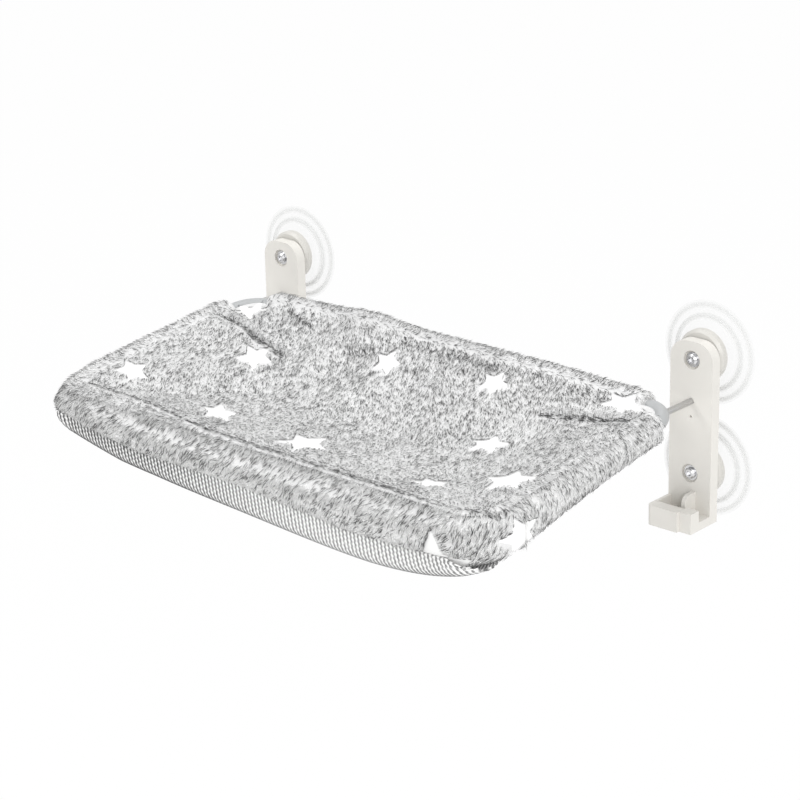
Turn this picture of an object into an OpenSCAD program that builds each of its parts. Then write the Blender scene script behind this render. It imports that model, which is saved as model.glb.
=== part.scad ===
// Window mounted cat perch: two channel brackets on suction cups carry a padded sling bed,
// whose tube frame plugs into them with two level prongs.
// X runs along the window, +Y points at the glass, +Z is up, and the glass is the plane Y = 0.

/* [Brackets] */
// Distance between the centre lines of the two brackets
bracket_spacing = 500; // [440:5:600]
// Width of a bracket
bracket_w = 45; // [40:1:56]
// Top of a bracket above the middle of its two cups
bracket_up = 70; // [66:1:84]
// Underside of a bracket's cradle below the middle of its two cups
bracket_down = 97; // [92:1:115]
// Radius of the two top corners
bracket_corner_r = 17; // [8:1:19]
// Distance from the glass to the bracket's front face
bracket_front = 28; // [26:0.5:36]
// Depth of the bracket's side walls
bracket_depth = 11; // [8:0.5:14]
// Thickness of the front face
plate_t = 3; // [2:0.25:4]
// Thickness of the side walls
wall_t = 2.6; // [1.8:0.2:3.4]
// Thickness of the stiffening ribs inside
rib_t = 2; // [1.2:0.2:3]
// Setback of the ribs from the open back
rib_setback = 2; // [1:0.5:4]
// Diameter of the small hole under the prong
pin_hole_d = 2.4; // [1:0.2:4]
// Depth of that hole's centre below the prong
pin_hole_drop = 14.4; // [13:0.2:20]

/* [Cradle] */
// Clear depth of the cradle between the front face and the lip
cradle_gap = 20; // [17:0.5:28]
// Thickness of the lip
lip_t = 12; // [6:0.5:16]
// Setback of the lip's outer block behind the inner block
lip_step = 3.5; // [1:0.5:4]
// Width of the lip's outer block
lip_block_w = 12.5; // [8:0.5:16]
// Thickness of the cradle's floor
floor_t = 8; // [4:0.5:12]
// Height of the lip above the floor
lip_h = 11; // [6:0.5:18]
// Rounding of the lip's vertical corner
lip_round = 4; // [1:0.5:6]
// Thickness of the cradle's closed side
cradle_side_t = 3; // [2:0.25:5]
// Thickness of the locating fin
fin_t = 4; // [2:0.25:6]
// Reach of the fin from the front face
fin_reach = 16; // [12:0.5:19]
// Height of the fin above the floor
fin_h = 20; // [16:0.5:28]
// Offset of the fin from the bracket's centre line
fin_offset = 5; // [0:0.5:6]

/* [Suction cups] */
// Outer diameter of a cup
cup_d = 95; // [80:1:104]
// Distance between the upper and the lower cup
cup_pitch = 106; // [100:1:112]
// Width of the flat sealing lip
lip_land = 4; // [2:0.5:6]
// Thickness of the cup's edge
cup_edge_t = 1.2; // [0.8:0.1:2]
// Height of the cup's dish above the glass where the hub sits
cup_h = 8; // [7:0.5:9]
// Depth of the hollow under the cup
cup_hollow = 3.4; // [2:0.2:4]
// Diameter of the raised step ring
step_d = 69; // [62:1:76]
// Height of the step ring
step_h = 1.4; // [0.6:0.2:2]
// Diameter of the opaque hub
hub_d = 48; // [38:1:54]
// Diameter of the cup's neck inside the hub
neck_d = 18; // [15:0.5:22]
// Height of the neck
neck_h = 5.5; // [4.5:0.25:6.5]

/* [Screws] */
// Thread diameter
screw_d = 5; // [4:0.5:6]
// Head diameter
screw_head_d = 10.4; // [9.4:0.2:12]
// Height of the head
screw_head_h = 3; // [2:0.25:4]
// Diameter of the counterbore in the front face
counterbore_d = 17; // [15:0.5:19]
// Depth of the counterbore
counterbore_depth = 3; // [1.5:0.25:4]
// Thickness of the washer
washer_t = 1; // [0.6:0.1:1.6]
// Diameter of the threaded insert
insert_d = 9; // [8:0.25:11]

/* [Prongs] */
// Diameter of a prong
prong_d = 6; // [5:0.25:8]
// Height of the prongs above the middle of the cups
prong_z = 15; // [12:0.5:17]
// Distance from the glass to the closed end of the prong's socket
socket_floor = 9.5; // [9:0.25:12]
// Thickness of the socket's closed end
socket_end_t = 2; // [1:0.25:2.5]
// Wall of the socket round the prong
socket_wall = 4.6; // [3:0.2:5]
// Radial clearance of a prong in its socket
socket_clear = 0.1; // [0.05:0.01:0.1]

/* [Frame] */
// Distance from the glass to the centre of the back tube
back_rail_out = 63; // [58:1:75]
// Depth of the frame between the centres of its back and front tubes
frame_depth = 258; // [200:2:310]
// Forward slope of the frame, in degrees
frame_slope = 6.2; // [0:0.2:10]
// Outer diameter of the frame tubes
tube_d = 13; // [11:0.25:15]
// Wall of the frame tubes
tube_t = 1.2; // [0.8:0.1:1.8]
// Centre line radius of the corner elbows
bend_r = 28; // [24:1:34]
// Length of an elbow's spigot inside its tube
spigot_len = 22; // [14:1:30]
// Radial clearance of a spigot in its tube
spigot_clear = 0.1; // [0.05:0.01:0.2]

/* [Cover] */
// Outer diameter of the plush rolls round the tubes
roll_d = 26.6; // [23:0.2:30]
// Slope of the bed where it leaves the rolls, in degrees
bed_rim_angle = 25; // [18:1:30]
// Thickness of the plush bed
bed_t = 6.5; // [4:0.5:9]
// Extra sag in the middle of the bed
bed_mid_sag = 5; // [0:0.5:9]
// Thickness of the knit underside
knit_t = 3; // [2:0.25:4]
// Thickness of the filling under the middle of the bed
pad_t = 9; // [4:0.5:24]
// Drop of the cover's wall at its left front corner
drop_left = 2; // [1:0.5:20]
// Drop of the cover's wall at its right front corner
drop_right = 20; // [1:0.5:26]
// Extra drop of the bolster in the middle of the front
drop_mid = 24; // [4:1:34]
// How far that drop leans to the right, as a share
drop_lean_share = 0.4; // [0:0.05:0.8]
// How full the drop is towards the corners, as an exponent
drop_fullness = 3.5; // [1.5:0.25:5]
// Share of the bolster's drop that the knit band covers
band_share = 0.32; // [0.1:0.02:0.6]
// Length of the bolster's ends along the side tubes
bolster_end = 12; // [6:1:24]

/* [Hidden] */

// Overrun of every cut past the face it opens
over = 0.5;
// Gap between soft pieces and what they rest on
soft_gap = 0.3;
// The same under the knit, whose faces are flatter
knit_gap = 0.8;
// Radial clearance of the screws in the parts that they pass through
screw_clear = 0.3;
// Radial clearance of threads and staked ends
stake_clear = 0.05;
// Smallest corner radius of the inner bed outlines
least_corner = 2;

// Bracket stations, as distances from the glass
bracket_back = bracket_front - bracket_depth;
plate_in = bracket_front - plate_t;
rib_back = bracket_back + rib_setback;
seat_h = bracket_front - counterbore_depth;
boss_r = counterbore_d / 2 + wall_t;
socket_r = prong_d / 2 + socket_clear;
socket_boss_r = prong_d / 2 + socket_wall;
floor_z = floor_t - bracket_down;
lip_top = floor_z + lip_h;
lip_out = bracket_front + cradle_gap + lip_t;

// Cup and hub stations
cup_r = cup_d / 2;
hub_r = hub_d / 2;
hub_bore_clear = 0.2;
hub_edge_r = 2.5;
hub_face_r = boss_r;
neck_top = cup_h + neck_h;
insert_end = cup_h;
screw_end = insert_end + over;
socket_hex_d = 5.4;
socket_hex_depth = 1.8;

// Frame stations in the frame's own plane: its origin is the middle of the back tube
tube_r = tube_d / 2;
half_turn_share = 1 - cos(45);
frame_x = bracket_spacing / 2 + bend_r * half_turn_share;
tube_half_x = frame_x - bend_r;
tube_half_y = frame_depth / 2 - bend_r;
mid_y = -frame_depth / 2;
elbow_in = bend_r * half_turn_share;
prong_tip_out = back_rail_out + elbow_in * cos(frame_slope);
perch_z = prong_z + elbow_in * sin(frame_slope);
prong_end_gap = 0.5;
prong_taper = 1;
prong_seat = 1;

// Cover stations in the same plane
roll_r = roll_d / 2;
tunnel_r = tube_r + soft_gap;
roll_setback = 2;
bed_wrap_r = roll_r + soft_gap;
bed_start = bed_wrap_r * sin(bed_rim_angle);
bed_start_z = bed_wrap_r * cos(bed_rim_angle);
bed_run = frame_depth / 2 - bed_start;
bed_sag = tan(bed_rim_angle) * bed_run / 2;
belly_r = roll_r - knit_t - knit_gap;
bed_middle = bed_start_z - bed_sag - bed_mid_sag;
pad_middle = bed_middle - bed_t - soft_gap;
belly = pad_middle - pad_t - soft_gap;
back_drop = 0.2;
knit_in_angle = 130;
knit_side_angle = 115;
knit_start = (roll_r + knit_gap) * sin(knit_in_angle - 90);
knit_run = frame_depth / 2 - knit_start;
knit_lip_angle = 3;
knit_lip_h = roll_r * sin(knit_lip_angle);
knit_corner_room = 1.2;
pad_inset = roll_r + 3 * knit_t / 2;
side_len = 2 * tube_half_y;
side_start = (bolster_end + soft_gap) / side_len;
side_end = 1 - roll_setback / side_len;
join_angle = 2;

// Shares of the way from rim to middle at which the cover's rings lie
top_shares = [0, 0.06, 0.15, 0.28, 0.45, 0.65, 0.86];
under_shares = [0.86, 0.6, 0.34, 0.12];
rim_shares = [1 / 3, 2 / 3, 1];
arc_steps = 6;
side_points = [9, 4, 9, 4];
knit_steps = 5;
half_points = 9;
side_steps = 5;
round_fn = 96;
small_fn = 48;

// Draws children in glass coordinates: x along the window, y up, z away from the glass
module off_glass(h = 0) {
    rotate([90, 0, 0]) translate([0, 0, h]) children();
}

// Places children at one cup of the right bracket, or of the left one
module at_cup(side, row) {
    translate([side * bracket_spacing / 2, 0, row * cup_pitch / 2]) children();
}

// Outline block of a bracket between two distances from the glass, set in by one wall
module bracket_block(inset, h0, h1) {
    half = bracket_w / 2 - inset;
    top = bracket_up - inset;
    bottom = floor_z - inset;
    r = max(bracket_corner_r - inset, over);
    off_glass(h0) {
        translate([-half, inset == 0 ? -bracket_down : floor_z, 0])
            cube([2 * half, top - r + (inset == 0 ? bracket_down : -floor_z), h1 - h0]);
        translate([r - half, 0, 0]) cube([2 * (half - r), top, h1 - h0]);
        for (s = [-1, 1])
            translate([s * (half - r), top - r, 0]) cylinder(r = r, h = h1 - h0, $fn = round_fn);
    }
}

// Cross ribs, spine and bosses behind the front face
module bracket_inside() {
    intersection() {
        bracket_block(wall_t / 2, rib_back, plate_in + over);
        off_glass(rib_back) {
            translate([-rib_t / 2, floor_z, 0])
                cube([rib_t, bracket_up - floor_z, bracket_depth]);
            for (z = [-cup_pitch / 2 - boss_r, -cup_pitch / 2 + boss_r,
                    prong_z - pin_hole_drop - socket_boss_r, cup_pitch / 2 - boss_r])
                translate([-bracket_w / 2, z - rib_t / 2, 0]) cube([bracket_w, rib_t, bracket_depth]);
        }
    }
    for (row = [-1, 1])
        translate([0, 0, row * cup_pitch / 2])
            off_glass(bracket_back) cylinder(r = boss_r, h = bracket_depth - plate_t / 2, $fn = round_fn);
    translate([0, 0, prong_z])
        off_glass(socket_floor - socket_end_t)
            cylinder(r = socket_boss_r, h = plate_in + over - socket_floor + socket_end_t, $fn = round_fn);
}

// Floor, stepped lip, closed inner side and locating fin at the foot
module cradle() {
    half = bracket_w / 2;
    step_x = half - lip_block_w;
    off_glass(bracket_back) translate([-half, -bracket_down, 0])
        cube([bracket_w, floor_t, lip_out - lip_step - bracket_back]);
    // Inner block of the lip, with its rounded corner
    off_glass(lip_out - lip_t) translate([lip_round - half, -bracket_down, 0])
        cube([step_x + half - lip_round, floor_t + lip_h, lip_t]);
    off_glass(lip_out - lip_t) translate([-half, -bracket_down, 0])
        cube([2 * lip_round, floor_t + lip_h, lip_t - lip_round]);
    translate([lip_round - half, lip_round - lip_out, -bracket_down])
        cylinder(r = lip_round, h = floor_t + lip_h, $fn = round_fn);
    // Outer block, set back
    off_glass(lip_out - lip_t - lip_step) translate([step_x - over, -bracket_down, 0])
        cube([lip_block_w + over, floor_t + lip_h, lip_t]);
    // Closed side towards the bed
    off_glass(plate_in) translate([-half, -bracket_down, 0])
        cube([cradle_side_t, floor_t + lip_h, lip_out - lip_round - plate_in]);
    // Locating fin with a round top
    fin_r = fin_reach / 2;
    translate([fin_offset - fin_t / 2, 0, 0]) {
        off_glass(plate_in) translate([0, floor_z - floor_t / 2, 0])
            cube([fin_t, fin_h - fin_r + floor_t / 2, fin_reach + plate_t]);
        translate([0, -bracket_front - fin_r, floor_z + fin_h - fin_r])
            rotate([0, 90, 0]) cylinder(r = fin_r, h = fin_t, $fn = round_fn);
        off_glass(plate_in) translate([0, floor_z, 0]) cube([fin_t, fin_h, fin_r + plate_t]);
    }
}

module right_bracket_body() {
    difference() {
        union() {
            difference() {
                bracket_block(0, bracket_back, bracket_front);
                bracket_block(wall_t, bracket_back - over, plate_in);
            }
            bracket_inside();
            cradle();
        }
        for (row = [-1, 1])
            translate([0, 0, row * cup_pitch / 2]) {
                off_glass(bracket_back - over)
                    cylinder(d = screw_d + 2 * screw_clear, h = bracket_depth + 2 * over, $fn = small_fn);
                off_glass(seat_h)
                    cylinder(d = counterbore_d, h = counterbore_depth + over, $fn = round_fn);
            }
        translate([0, 0, prong_z])
            off_glass(socket_floor)
                cylinder(r = socket_r, h = bracket_front - socket_floor + over, $fn = small_fn);
        translate([0, 0, prong_z - pin_hole_drop])
            off_glass(plate_in - over)
                cylinder(d = pin_hole_d, h = plate_t + 2 * over, $fn = small_fn);
    }
}

module bracket_right() {
    color("whitesmoke") translate([bracket_spacing / 2, 0, 0]) right_bracket_body();
}

module bracket_left() {
    color("whitesmoke") mirror([1, 0, 0]) translate([bracket_spacing / 2, 0, 0]) right_bracket_body();
}

// Clear dish with a flat sealing lip, a step ring and a neck for the hub
module suction_cup(side, row) {
    step_r = step_d / 2;
    color("white", 0.6) at_cup(side, row) off_glass() difference() {
        rotate_extrude($fn = round_fn) polygon([
            [0, 0], [cup_r, 0], [cup_r, cup_edge_t],
            [step_r, cup_h - cup_hollow - step_h], [step_r, cup_h - cup_hollow],
            [step_r - step_h, cup_h - cup_hollow],
            [hub_r + step_h, cup_h - step_h], [hub_r, cup_h],
            [neck_d / 2, cup_h], [neck_d / 2, neck_top], [0, neck_top]]);
        rotate_extrude($fn = round_fn) polygon([
            [0, -over], [cup_r - lip_land, -over], [cup_r - lip_land, 0],
            [hub_r, cup_hollow], [0, cup_hollow]]);
        translate([0, 0, insert_end])
            cylinder(d = insert_d, h = neck_h + over, $fn = small_fn);
    }
}

// Opaque disc that grips the neck and bears on the bracket's boss
module cup_hub(side, row) {
    rim_top = bracket_back - hub_edge_r / 2;
    color("white") at_cup(side, row) off_glass() difference() {
        rotate_extrude($fn = round_fn) polygon([
            [0, cup_h], [hub_r, cup_h], [hub_r, rim_top - hub_edge_r],
            [hub_r - hub_edge_r, rim_top], [hub_face_r, rim_top],
            [hub_face_r, bracket_back], [0, bracket_back]]);
        translate([0, 0, cup_h - over])
            cylinder(d = neck_d + 2 * hub_bore_clear, h = neck_h + over, $fn = round_fn);
        cylinder(d = screw_d + 2 * screw_clear, h = bracket_back + over, $fn = small_fn);
    }
}

// Threaded insert pressed into the cup's neck
module cup_insert(side, row) {
    color("goldenrod") at_cup(side, row) off_glass(insert_end) difference() {
        cylinder(d = insert_d, h = neck_h, $fn = small_fn);
        translate([0, 0, -over])
            cylinder(d = screw_d + 2 * stake_clear, h = neck_h + 2 * over, $fn = small_fn);
    }
}

module washer(side, row) {
    color("silver") at_cup(side, row) off_glass(seat_h) difference() {
        cylinder(d = (screw_head_d + counterbore_d) / 2, h = washer_t, $fn = round_fn);
        translate([0, 0, -over])
            cylinder(d = screw_d + 2 * screw_clear, h = washer_t + 2 * over, $fn = small_fn);
    }
}

// Pan head screw with a hexagon socket
module screw(side, row) {
    head_r = screw_head_d / 2;
    head_h = seat_h + washer_t;
    color("dimgray") at_cup(side, row) off_glass() difference() {
        union() {
            translate([0, 0, screw_end])
                cylinder(d = screw_d, h = head_h + over - screw_end, $fn = small_fn);
            rotate_extrude($fn = small_fn) polygon([
                [0, head_h], [head_r, head_h], [head_r, head_h + screw_head_h / 2],
                [head_r - screw_head_h / 2, head_h + screw_head_h], [0, head_h + screw_head_h]]);
        }
        translate([0, 0, head_h + screw_head_h - socket_hex_depth])
            cylinder(d = socket_hex_d, h = socket_hex_depth + over, $fn = 6);
    }
}

// Level steel rod from the bracket's socket into the back elbow
module prong(side) {
    start = socket_floor + prong_end_gap;
    color("silver") translate([side * bracket_spacing / 2, 0, prong_z]) off_glass() {
        translate([0, 0, start])
            cylinder(d1 = prong_d - 2 * prong_taper, d2 = prong_d, h = prong_taper, $fn = small_fn);
        translate([0, 0, start + prong_taper])
            cylinder(d = prong_d, h = prong_tip_out - prong_seat - start - prong_taper, $fn = small_fn);
    }
}

// Draws children in the frame's own plane, sloped forward about the back tube
module in_frame() {
    translate([0, -back_rail_out, perch_z]) rotate([frame_slope, 0, 0]) children();
}

module tube(length) {
    difference() {
        cylinder(d = tube_d, h = length, center = true, $fn = small_fn);
        cylinder(d = tube_d - 2 * tube_t, h = length + 2 * over, center = true, $fn = small_fn);
    }
}

module frame_tube_across(y) {
    color("gray") in_frame() translate([0, y, 0]) rotate([0, 90, 0]) tube(2 * tube_half_x);
}

module frame_tube_side(side) {
    color("gray") in_frame() translate([side * frame_x, mid_y, 0]) rotate([90, 0, 0]) tube(2 * tube_half_y);
}

// Solid corner with a spigot for each tube
module elbow_body() {
    spigot_r = tube_r - tube_t - spigot_clear;
    translate([tube_half_x, tube_half_y, 0]) {
        rotate_extrude(angle = 90, $fn = round_fn) translate([bend_r, 0]) circle(r = tube_r, $fn = small_fn);
        translate([bend_r, over, 0]) rotate([90, 0, 0])
            cylinder(r = spigot_r, h = spigot_len + over, $fn = small_fn);
        translate([over, bend_r, 0]) rotate([0, -90, 0])
            cylinder(r = spigot_r, h = spigot_len + over, $fn = small_fn);
    }
}

module elbow(side, end) {
    in_frame() translate([0, mid_y, 0]) mirror([side < 0 ? 1 : 0, 0, 0])
        mirror([0, end < 0 ? 1 : 0, 0]) elbow_body();
}

module elbow_back(side) {
    color("silver") difference() {
        elbow(side, 1);
        translate([side * bracket_spacing / 2, 0, prong_z])
            off_glass(back_rail_out - 2 * tube_d)
                cylinder(d = prong_d + 2 * stake_clear,
                    h = prong_tip_out - prong_seat - back_rail_out + 2 * tube_d, $fn = small_fn);
    }
}

module elbow_front(side) {
    color("silver") elbow(side, -1);
}

// Plush roll sewn round the back tube
module back_roll() {
    length = 2 * (tube_half_x - roll_setback);
    color("lightgray") in_frame() rotate([0, 90, 0]) difference() {
        cylinder(d = roll_d, h = length, center = true, $fn = round_fn);
        cylinder(r = tunnel_r, h = length + 2 * over, center = true, $fn = small_fn);
    }
}

// Outlines of the cover: rounded rectangles set in from the tube centre line by d.
// An entry is [corner, direction in degrees, share of the way to the next corner].
corner_x = [1, -1, -1, 1];
corner_y = [1, 1, -1, -1];
outline = [for (k = [0:3]) each concat(
    [for (j = [0:arc_steps]) [k, 90 * k + 90 * j / arc_steps, 0]],
    [for (j = [1:side_points[k]]) [k, 90 * k + 90, j / (side_points[k] + 1)]])];

function corner_radius(d) = max(bend_r - d, least_corner);
function corner_point(k, a, d) = let(r = corner_radius(d))
    [corner_x[k] * (frame_x - d - r) + r * cos(a),
     mid_y + corner_y[k] * (frame_depth / 2 - d - r) + r * sin(a)];
function along(p, q, t) = p + (q - p) * t;
function place(e, d) = e[2] == 0 ? corner_point(e[0], e[1], d)
    : along(corner_point(e[0], e[1], d), corner_point((e[0] + 1) % 4, e[1], d), e[2]);
function raised(p, z) = [p[0], p[1], z];

// How far an entry faces the front, from 0 to 1, and where it lies across and down the frame
function front_share(e) = pow(max(0, -sin(e[1])), 2);
function across_share(e) = place(e, 0)[0] / frame_x;
function down_share(e) = -place(e, 0)[1] / frame_depth;

// Drop of the cover's wall below the tubes, which grows towards the front
function wall_drop(e) = let(q = across_share(e), v = down_share(e))
    back_drop + along(drop_left, drop_right, (q + 1) / 2) * v * v
        + drop_mid * front_share(e) * (1 - pow(abs(q), drop_fullness)) * (1 + drop_lean_share * q);
function band_rise(e) = front_share(e) * band_share * wall_drop(e);

// Height of the bed's top at inset d, and of the knit's upper face
function bed_top(e, d) = let(x = (d - bed_start) / bed_run, q = place(e, d)[0] / frame_x)
    bed_start_z - bed_sag * (1 - pow(1 - x, 2)) - bed_mid_sag * (1 - q * q) * x * x;
function foot_r(e) = along(roll_r, belly_r, front_share(e));
function corner_room(e) = 4 * knit_corner_room * front_share(e) * (1 - front_share(e));
function knit_wrap(e, a, t) = let(r = foot_r(e) + knit_gap + corner_room(e) + t)
    raised(place(e, -r * cos(a)), -wall_drop(e) - r * sin(a));
function knit_top(e, d) = let(x = max(0, (d - knit_start) / knit_run),
        rim = -wall_drop(e) - (foot_r(e) + knit_gap) * sin(knit_in_angle))
    rim + (belly - rim) * (1 - pow(1 - x, 2));

// Closed skin over rings that share their numbering, from a top point down to a bottom point.
// Its diagonals always lead outwards, so two skins on the same rings don't cross.
module ringed_solid(rings, top, bottom, widest) {
    n = len(rings[0]);
    last = len(rings) - 1;
    points = concat([top], [for (ring = rings) each ring], [bottom]);
    end = len(points) - 1;
    faces = concat(
        [for (i = [0:n - 1]) [0, 1 + (i + 1) % n, 1 + i]],
        [for (j = [0:last - 1]) for (i = [0:n - 1]) let(a = 1 + j * n + i, b = 1 + j * n + (i + 1) % n)
            each j < widest ? [[a, b, b + n], [a, b + n, a + n]] : [[a, b, a + n], [b, b + n, a + n]]],
        [for (i = [0:n - 1]) [end, 1 + last * n + i, 1 + last * n + (i + 1) % n]]);
    polyhedron(points, faces);
}

// Insets of the rings that the bed's underside, the filling and the knit share
fall = [for (s = under_shares) knit_start + knit_run * s];

// Dished plush bed, tangent to the rolls, with creases along its diagonals
module plush_bed() {
    rise = [for (s = top_shares) bed_start + bed_run * s];
    rim = [for (s = rim_shares) along(bed_rim_angle, 90, s)];
    rings = concat(
        [for (k = [len(rise) - 1:-1:0]) [for (e = outline) raised(place(e, rise[k]), bed_top(e, rise[k]))]],
        [for (a = rim) [for (e = outline) raised(place(e, bed_wrap_r * sin(a)), bed_wrap_r * cos(a))]],
        [for (k = [len(fall) - 1:-1:0])
            [for (e = outline) raised(place(e, fall[k]), bed_top(e, fall[k]) - bed_t)]]);
    color("gainsboro") in_frame()
        ringed_solid(rings, [0, mid_y, bed_middle], [0, mid_y, bed_middle - bed_t], len(rise));
}

// Soft filling between the bed and the underside
module filling_pad() {
    rings = concat(
        [for (d = fall) [for (e = outline) raised(place(e, d), bed_top(e, d) - bed_t - soft_gap)]],
        [[for (e = outline) raised(place(e, pad_inset),
            (bed_top(e, pad_inset) - bed_t + knit_top(e, pad_inset)) / 2)]],
        [for (k = [len(fall) - 1:-1:0]) [for (e = outline)
            raised(place(e, fall[k]), knit_top(e, fall[k]) + soft_gap)]]);
    color("ivory") in_frame()
        ringed_solid(rings, [0, mid_y, pad_middle], [0, mid_y, belly + soft_gap], len(fall));
}

// Knit underside, turned up over the front bolster as a band
module knit_underside() {
    start = [for (e = outline) along(knit_side_angle, 0, front_share(e))];
    count = len(outline);
    turn = [for (j = [0:knit_steps]) j / knit_steps];
    inner = concat(
        [for (d = fall) [for (e = outline) raised(place(e, d), knit_top(e, d))]],
        [for (j = [knit_steps:-1:0]) [for (i = [0:count - 1])
            knit_wrap(outline[i], along(start[i], knit_in_angle, turn[j]), 0)]],
        [[for (i = [0:count - 1]) knit_wrap(outline[i], start[i] - knit_lip_angle, 0)
            + [0, 0, band_rise(outline[i])]]]);
    outer = concat(
        [[for (i = [0:count - 1]) knit_wrap(outline[i], start[i] - knit_lip_angle, knit_t)
            + [0, 0, band_rise(outline[i])]]],
        [for (j = [0:knit_steps]) [for (i = [0:count - 1])
            knit_wrap(outline[i], along(start[i], knit_in_angle, turn[j]), knit_t)]],
        [for (k = [len(fall) - 1:-1:0]) [for (e = outline)
            raised(place(e, fall[k]), knit_top(e, fall[k]) - knit_t)]]);
    color("silver") in_frame()
        ringed_solid(concat(inner, outer), [0, mid_y, belly], [0, mid_y, belly - knit_t], len(inner));
}

// Sections of the hanging walls, across the tube: round over it, straight down, round below
function wall_section(e, r) = let(h = wall_drop(e)) concat(
    [for (j = [0:half_points]) let(a = 180 * j / half_points) [roll_r * cos(a), roll_r * sin(a)]],
    [for (j = [0:half_points]) let(a = along(180 + join_angle, 360 - join_angle, j / half_points))
        [r * cos(a), r * sin(a) - h]]);
function banded_section(e) =
    let(r = min(foot_r(e), roll_r - over), z = band_rise(e) + soft_gap + knit_lip_h - wall_drop(e))
    concat(wall_section(e, r), [[r, z], [roll_r, z]]);

// A wall's ring at one station, followed by the ring of its tunnel round the tube
function wall_rings(e, section, shift) = let(n = len(section)) concat(
    [for (p = section) raised(place(e, -p[0]) + [0, shift], p[1])],
    [for (j = [0:n - 1]) let(a = 360 * j / n)
        raised(place(e, -tunnel_r * cos(a)) + [0, shift], tunnel_r * sin(a))]);

// Closed sleeve over such rings
module sleeve(stations) {
    n = len(stations[0]);
    size = n / 2;
    last = (len(stations) - 1) * n;
    function next(j) = (j + 1) % size;
    faces = concat(
        [for (s = [0:n:last - n]) for (j = [0:size - 1]) let(a = s + j, b = s + next(j))
            each [[a, b, b + n], [a, b + n, a + n]]],
        [for (s = [0:n:last - n]) for (j = [0:size - 1]) let(a = s + size + j, b = s + size + next(j))
            each [[a, b + n, b], [a, a + n, b + n]]],
        [for (j = [0:size - 1]) let(b = next(j)) each [[j, j + size, b + size], [j, b + size, b]]],
        [for (j = [0:size - 1]) let(a = last + j, b = last + next(j))
            each [[a, b + size, a + size], [a, b, b + size]]]);
    polyhedron([for (ring = stations) each ring], faces);
}

// Plush wall hung over a side tube, deeper towards the front
module side_roll(side) {
    entries = [for (j = [0:side_steps]) let(t = along(side_start, side_end, j / side_steps))
        side > 0 ? [3, 360, t] : [1, 180, 1 - t]];
    order = [for (j = [0:side_steps]) entries[side > 0 ? j : side_steps - j]];
    color("lightgray") in_frame()
        sleeve([for (e = order) wall_rings(e, wall_section(e, roll_r), 0)]);
}

// Padded front bolster round the front tube and its elbows, recessed for the knit band
module front_bolster() {
    entries = [for (e = outline) if (e[0] == 2 || e[0] == 3 && e[2] == 0) e];
    first = entries[0];
    final = entries[len(entries) - 1];
    color("lightgray") in_frame() sleeve(concat(
        [wall_rings(first, banded_section(first), bolster_end)],
        [for (e = entries) wall_rings(e, banded_section(e), 0)],
        [wall_rings(final, banded_section(final), bolster_end)]));
}

bracket_left();
bracket_right();
suction_cup(-1, 1);  // suction_cup_left_upper
suction_cup(-1, -1);  // suction_cup_left_lower
suction_cup(1, 1);  // suction_cup_right_upper
suction_cup(1, -1);  // suction_cup_right_lower
cup_hub(-1, 1);  // cup_hub_left_upper
cup_hub(-1, -1);  // cup_hub_left_lower
cup_hub(1, 1);  // cup_hub_right_upper
cup_hub(1, -1);  // cup_hub_right_lower
cup_insert(-1, 1);  // cup_insert_left_upper
cup_insert(-1, -1);  // cup_insert_left_lower
cup_insert(1, 1);  // cup_insert_right_upper
cup_insert(1, -1);  // cup_insert_right_lower
washer(-1, 1);  // washer_left_upper
washer(-1, -1);  // washer_left_lower
washer(1, 1);  // washer_right_upper
washer(1, -1);  // washer_right_lower
screw(-1, 1);  // screw_left_upper
screw(-1, -1);  // screw_left_lower
screw(1, 1);  // screw_right_upper
screw(1, -1);  // screw_right_lower
prong(-1);  // prong_left
prong(1);  // prong_right
frame_tube_across(0);  // frame_tube_back
frame_tube_across(-frame_depth);  // frame_tube_front
frame_tube_side(-1);  // frame_tube_left
frame_tube_side(1);  // frame_tube_right
elbow_back(-1);  // elbow_back_left
elbow_back(1);  // elbow_back_right
elbow_front(-1);  // elbow_front_left
elbow_front(1);  // elbow_front_right
back_roll();
side_roll(-1);  // side_roll_left
side_roll(1);  // side_roll_right
front_bolster();
plush_bed();
filling_pad();
knit_underside();
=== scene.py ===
import math

import bpy
import numpy as np
from mathutils import Matrix, Vector


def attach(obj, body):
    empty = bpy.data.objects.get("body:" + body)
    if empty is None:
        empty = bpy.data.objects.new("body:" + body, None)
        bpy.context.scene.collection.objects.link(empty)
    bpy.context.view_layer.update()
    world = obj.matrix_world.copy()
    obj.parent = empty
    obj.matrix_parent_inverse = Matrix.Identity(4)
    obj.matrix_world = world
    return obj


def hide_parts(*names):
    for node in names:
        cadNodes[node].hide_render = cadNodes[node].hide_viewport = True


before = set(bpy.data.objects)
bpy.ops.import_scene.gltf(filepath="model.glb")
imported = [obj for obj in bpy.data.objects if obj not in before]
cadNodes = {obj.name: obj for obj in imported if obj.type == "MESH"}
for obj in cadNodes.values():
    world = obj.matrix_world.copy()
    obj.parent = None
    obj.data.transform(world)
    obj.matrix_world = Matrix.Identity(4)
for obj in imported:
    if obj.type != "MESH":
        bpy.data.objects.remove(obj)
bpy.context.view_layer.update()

# the sling's own plane: x along the glass, y towards it with 0 at the back tube, z up, in millimetres;
# straight is half the front's length between its corners, roll and foot are radii of the cover
sling = {"tilt": math.radians(6.2), "out": 63.0, "up": 15.89, "halfWide": 258.2, "deep": 258.0,
         "corner": 28.0, "straight": 230.2, "roll": 13.3, "foot": 9.5}
bend = sling["corner"] * math.pi / 2  # the length of a corner's arc
flank = sling["deep"] - 2 * sling["corner"]  # the straight length of a side


def toRoom(points):
    # points of the sling's plane in millimetres, to metres in the room
    p = np.asarray(points, float)
    c, s = math.cos(sling["tilt"]), math.sin(sling["tilt"])
    return np.stack([p[..., 0], p[..., 1] * c - p[..., 2] * s - sling["out"],
                     p[..., 1] * s + p[..., 2] * c + sling["up"]], axis=-1) / 1000


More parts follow.
